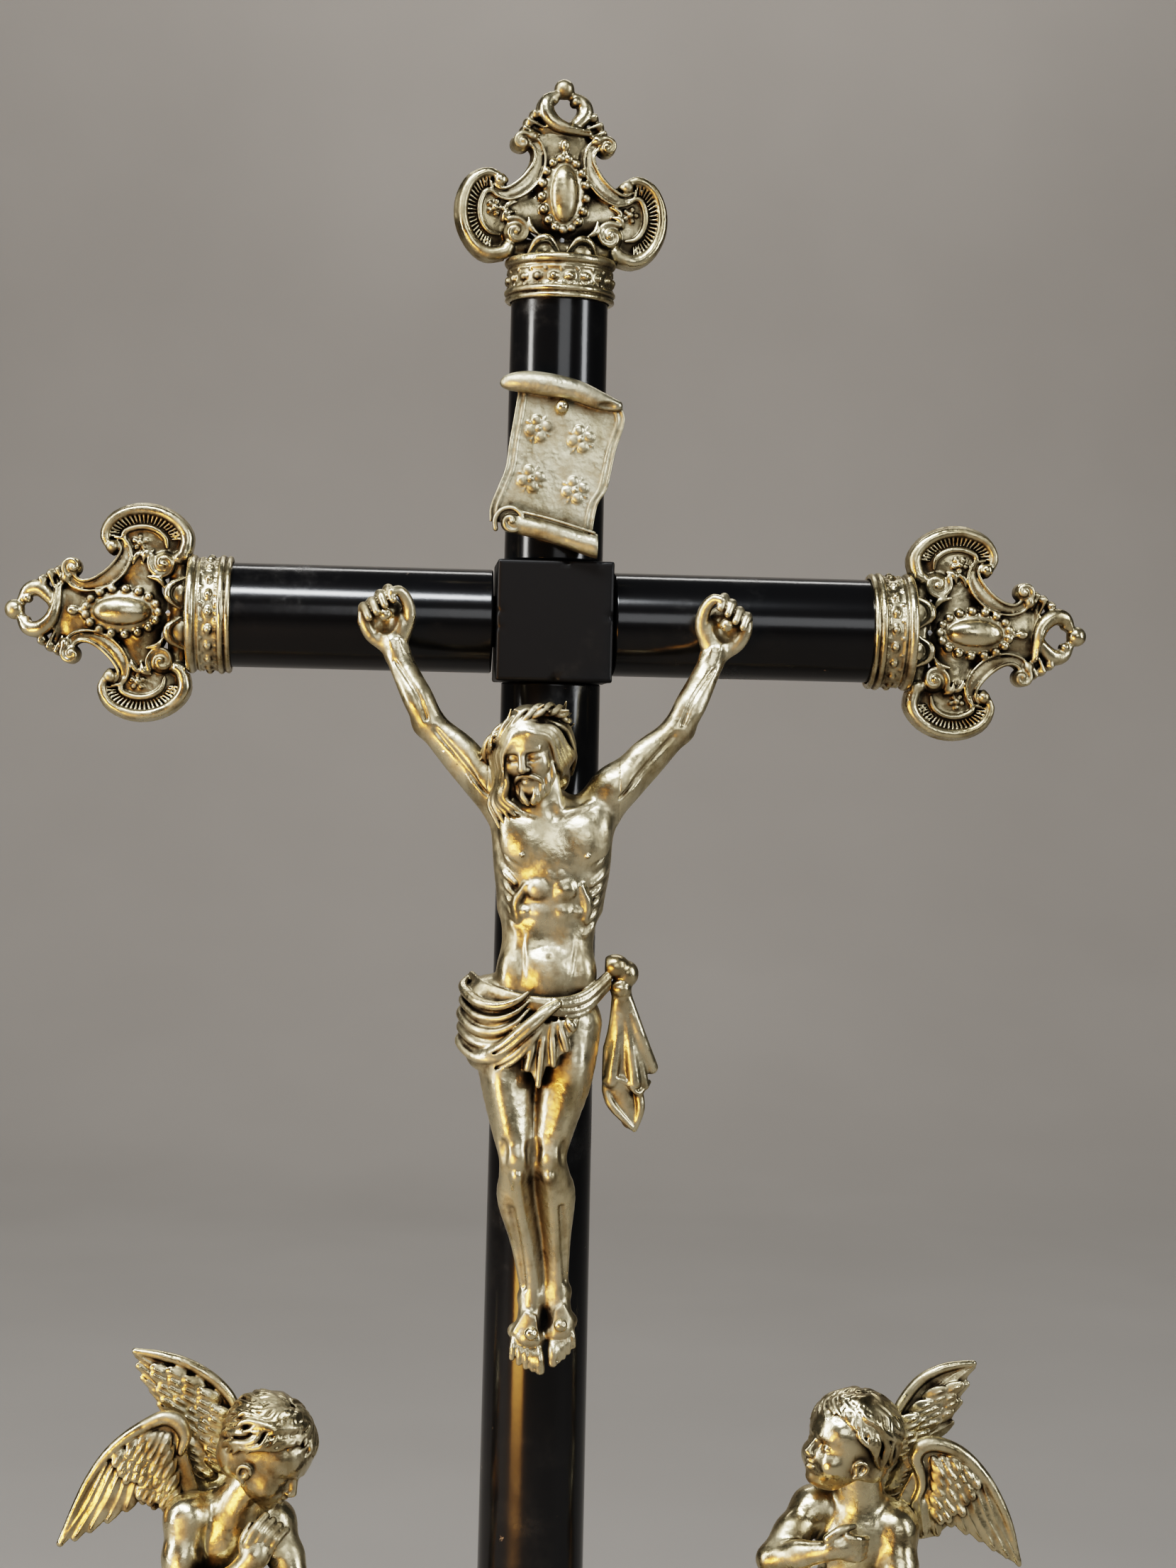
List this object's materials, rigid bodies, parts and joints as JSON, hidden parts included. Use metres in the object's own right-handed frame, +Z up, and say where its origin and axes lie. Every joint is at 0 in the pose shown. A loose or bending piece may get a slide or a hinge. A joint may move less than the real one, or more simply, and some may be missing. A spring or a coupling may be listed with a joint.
{
  "type": "processional cross",
  "caption": "Staff-mounted processional cross: ebonised round rods, cast gilt finials, crucifix figure, title scroll and kneeling angels on scroll branches beside a knop.",
  "frame": {"origin": "centre of the ferrule's mouth, where the staff enters", "axes": "+Z up along the shaft, the cross faces -Y, +X to the viewer's right"},
  "size_m": [0.3814, 0.0928, 0.7307],
  "materials": {
    "ebonised_gloss": "gloss black lacquer, worn at the edges",
    "ebonised_satin": "satin black, worn edges",
    "silver_gilt": "polished pale gilt with dark patina in the recesses",
    "steel": "plain machined"
  },
  "bodies": {
    "cross": {"centre_block": "ebonised_satin", "top_rod": "ebonised_gloss", "left_rod": "ebonised_gloss", "right_rod": "ebonised_gloss", "shaft": "ebonised_gloss", "top_collar": "silver_gilt", "left_collar": "silver_gilt", "right_collar": "silver_gilt", "top_finial": "silver_gilt", "left_finial": "silver_gilt", "right_finial": "silver_gilt", "top_finial_stud": "steel", "left_finial_stud": "steel", "right_finial_stud": "steel", "title_scroll": "silver_gilt", "scroll_nail": "silver_gilt", "corpus_body": "silver_gilt", "corpus_left_arm": "silver_gilt", "corpus_right_arm": "silver_gilt", "loincloth_drape": "silver_gilt", "left_hand_nail": "silver_gilt", "right_hand_nail": "silver_gilt", "left_foot_nail": "silver_gilt", "right_foot_nail": "silver_gilt", "left_branch": "silver_gilt", "left_branch_stud": "steel", "left_angel": "silver_gilt", "left_angel_stud": "steel", "left_near_wing": "silver_gilt", "left_far_wing": "silver_gilt", "left_near_wing_screw": "steel", "left_far_wing_screw": "steel", "right_branch": "silver_gilt", "right_branch_stud": "steel", "right_angel": "silver_gilt", "right_angel_stud": "steel", "right_near_wing": "silver_gilt", "right_far_wing": "silver_gilt", "right_near_wing_screw": "steel", "right_far_wing_screw": "steel", "shaft_cup": "silver_gilt", "knop_upper_shell": "silver_gilt", "knop_lower_shell": "silver_gilt", "knop_band": "silver_gilt", "knop_sleeve": "steel", "tie_rod": "steel", "tie_rod_nut": "steel", "ferrule": "silver_gilt", "ferrule_cap": "silver_gilt"},
    "thumb_screw": {"thumb_screw": "silver_gilt"}
  },
  "joints": [
    {"name": "thumb_screw_turn", "type": "hinge", "parent": "cross", "child": "thumb_screw", "pos_m": [0, 0, 0.032], "axis": [0, 1, 0], "range_deg": [0, 720]}
  ]
}
